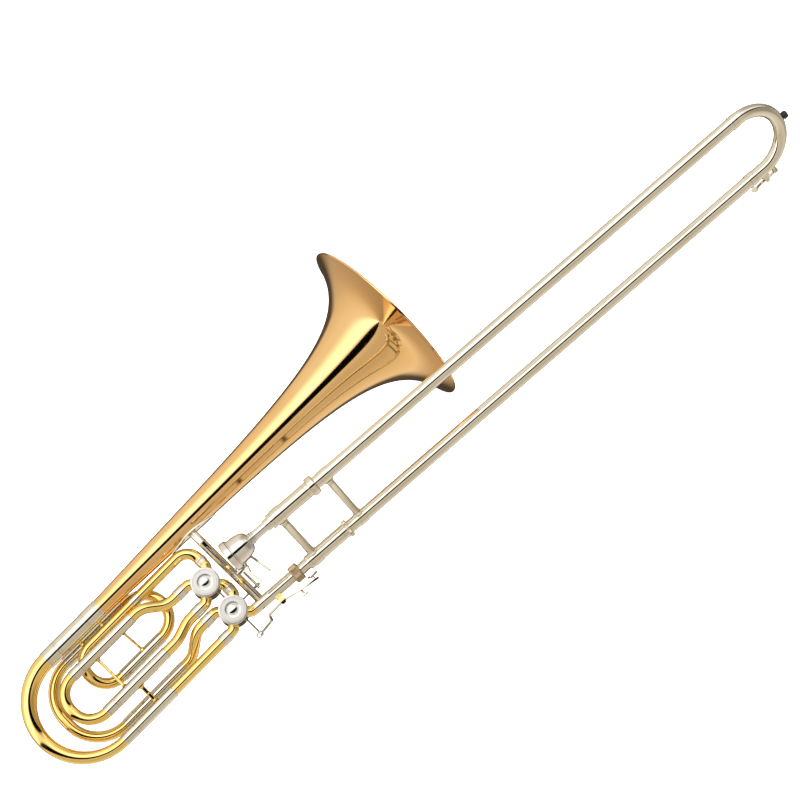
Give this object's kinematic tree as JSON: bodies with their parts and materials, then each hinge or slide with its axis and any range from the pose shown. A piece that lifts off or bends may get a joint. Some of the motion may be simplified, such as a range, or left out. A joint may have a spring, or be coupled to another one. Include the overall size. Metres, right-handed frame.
{
  "type": "bass trombone",
  "caption": "Slide trombone with a wide bell, two rotary valves in line, tuning slides, a hand slide with water key and a cup mouthpiece.",
  "frame": {"origin": "on the hand slide's lower axis, at the joint under the lock nut where the bell section meets the slide section, beside the left hand's grip", "axes": "+X along the hand slide towards its bow, +Z from the lower slide tube to the mouthpiece's tube, +Y to the side the bell leans to"},
  "size_m": [1.1872, 0.3101, 0.2523],
  "materials": {
    "gold_brass": "polished",
    "yellow_brass": "polished",
    "nickel_silver": "polished",
    "silver_plate": "polished",
    "steel": "satin",
    "satin_nickel": "satin",
    "cork": "matte",
    "rubber": "matte"
  },
  "bodies": {
    "bell_section": {"bell_flare": "gold_brass", "bell_stem": "gold_brass", "rim_wire": "gold_brass", "tail_ferrule": "nickel_silver", "main_sleeves": "nickel_silver", "main_lower_tube": "yellow_brass", "second_sleeves": "nickel_silver", "second_valve_tubes": "yellow_brass", "f_sleeves": "nickel_silver", "f_entry_tube": "yellow_brass", "f_left_bend": "yellow_brass", "f_right_bend": "yellow_brass", "f_return_tube": "yellow_brass", "port_ferrules": "nickel_silver", "upper_valve_casing": "nickel_silver", "lower_valve_casing": "nickel_silver", "upper_knuckles": "yellow_brass", "lower_knuckles": "yellow_brass", "upper_valve_cap": "silver_plate", "lower_valve_cap": "silver_plate", "valve_bearing_plates": "nickel_silver", "stop_corks": "cork", "slide_braces": "yellow_brass", "bell_brace": "nickel_silver", "thumb_lever_hinge": "yellow_brass", "finger_lever_saddle": "yellow_brass", "receiver": "nickel_silver"},
    "main_slide": {"main_slide_crook": "yellow_brass", "main_slide_legs": "nickel_silver"},
    "second_slide": {"second_slide_crook": "yellow_brass", "second_slide_legs": "nickel_silver"},
    "f_slide": {"f_slide_crook": "yellow_brass", "f_slide_legs": "nickel_silver"},
    "upper_valve": {"upper_rotor": "steel", "upper_stop_arm": "steel"},
    "lower_valve": {"lower_rotor": "steel", "lower_stop_arm": "steel"},
    "thumb_lever": {"thumb_lever": "nickel_silver"},
    "thumb_link": {"thumb_link": "steel"},
    "finger_lever": {"finger_lever": "nickel_silver"},
    "finger_link": {"finger_link": "steel"},
    "inner_slide": {"slide_tenon": "nickel_silver", "lower_barrel": "nickel_silver", "upper_barrel": "nickel_silver", "mouthpiece_receiver": "nickel_silver", "inner_brace": "nickel_silver", "lower_inner_tube": "nickel_silver", "upper_inner_tube": "nickel_silver"},
    "lock_nut": {"lock_nut": "satin_nickel"},
    "slide_lock": {"slide_lock": "nickel_silver"},
    "outer_slide": {"lower_outer_tube": "nickel_silver", "upper_outer_tube": "nickel_silver", "outer_brace": "nickel_silver", "bow": "nickel_silver", "bow_ferrules": "nickel_silver", "bumper": "rubber", "water_key_saddle": "nickel_silver"},
    "water_key": {"water_key": "nickel_silver"},
    "mouthpiece": {"mouthpiece": "silver_plate"}
  },
  "joints": [
    {"name": "main_slide_pull", "type": "slide", "parent": "bell_section", "child": "main_slide", "axis": [-0.9895, -0.143, 0.0216], "range_m": [0, 0.045]},
    {"name": "second_slide_pull", "type": "slide", "parent": "bell_section", "child": "second_slide", "axis": [-0.9895, -0.143, 0.0216], "range_m": [0, 0.025]},
    {"name": "f_slide_pull", "type": "slide", "parent": "bell_section", "child": "f_slide", "axis": [-0.9895, -0.143, 0.0216], "range_m": [0, 0.05]},
    {"name": "upper_rotor_turn", "type": "hinge", "parent": "bell_section", "child": "upper_valve", "pos_m": [-0.09262, 0.04359, 0.04335], "axis": [0.1132, -0.6725, 0.7314], "range_deg": [0, 90], "stiffness_Nm_per_rad": 0.05, "springref_deg": -22.92},
    {"name": "lower_rotor_turn", "type": "hinge", "parent": "bell_section", "child": "lower_valve", "pos_m": [-0.08834, 0.0091, 0.01097], "axis": [0.1132, -0.6725, 0.7314], "range_deg": [0, 90], "stiffness_Nm_per_rad": 0.05, "springref_deg": -22.92},
    {"name": "thumb_lever_press", "type": "hinge", "parent": "bell_section", "child": "thumb_lever", "pos_m": [-0.05754, 0.02805, 0.03798], "axis": [-0.09, 0.7261, 0.6816], "range_deg": [0, 15.62]},
    {"name": "thumb_link_turn", "type": "hinge", "parent": "lower_valve", "child": "thumb_link", "pos_m": [-0.08668, 0.03439, -0.00746], "axis": [0.1132, -0.6725, 0.7314], "range_deg": [-90, 0]},
    {"name": "finger_lever_press", "type": "hinge", "parent": "bell_section", "child": "finger_lever", "pos_m": [-0.0344, -0.0107, -0.01011], "axis": [-0.1132, 0.6725, -0.7314], "range_deg": [0, 14.22]},
    {"name": "finger_link_turn", "type": "hinge", "parent": "upper_valve", "child": "finger_link", "pos_m": [-0.0906, 0.06457, 0.01297], "axis": [0.1132, -0.6725, 0.7314], "range_deg": [-90, 0]},
    {"name": "section_turn", "type": "hinge", "parent": "bell_section", "child": "inner_slide", "pos_m": [0, 0, 0], "axis": [1, 0, 0], "range_deg": [-5, 90]},
    {"name": "lock_nut_turn", "type": "hinge", "parent": "inner_slide", "child": "lock_nut", "pos_m": [0, 0, 0], "axis": [1, 0, 0], "continuous": true},
    {"name": "slide_lock_turn", "type": "hinge", "parent": "inner_slide", "child": "slide_lock", "pos_m": [0.083, 0, 0], "axis": [1, 0, 0], "range_deg": [0, 30]},
    {"name": "hand_slide", "type": "slide", "parent": "inner_slide", "child": "outer_slide", "axis": [1, 0, 0], "range_m": [0, 0.6]},
    {"name": "water_key_press", "type": "hinge", "parent": "outer_slide", "child": "water_key", "pos_m": [0.757, 0, -0.0155], "axis": [0, 1, 0], "range_deg": [0, 15], "stiffness_Nm_per_rad": 0.02, "springref_deg": -22.92},
    {"name": "mouthpiece_pull", "type": "slide", "parent": "inner_slide", "child": "mouthpiece", "axis": [-1, 0, 0], "range_m": [0, 0.03]}
  ],
  "couplings": [
    {"joint": "thumb_lever_press", "follows": "lower_rotor_turn", "ratio": 0.17355},
    {"joint": "thumb_link_turn", "follows": "lower_rotor_turn", "ratio": -1},
    {"joint": "finger_lever_press", "follows": "upper_rotor_turn", "ratio": 0.15799},
    {"joint": "finger_link_turn", "follows": "upper_rotor_turn", "ratio": -1}
  ]
}
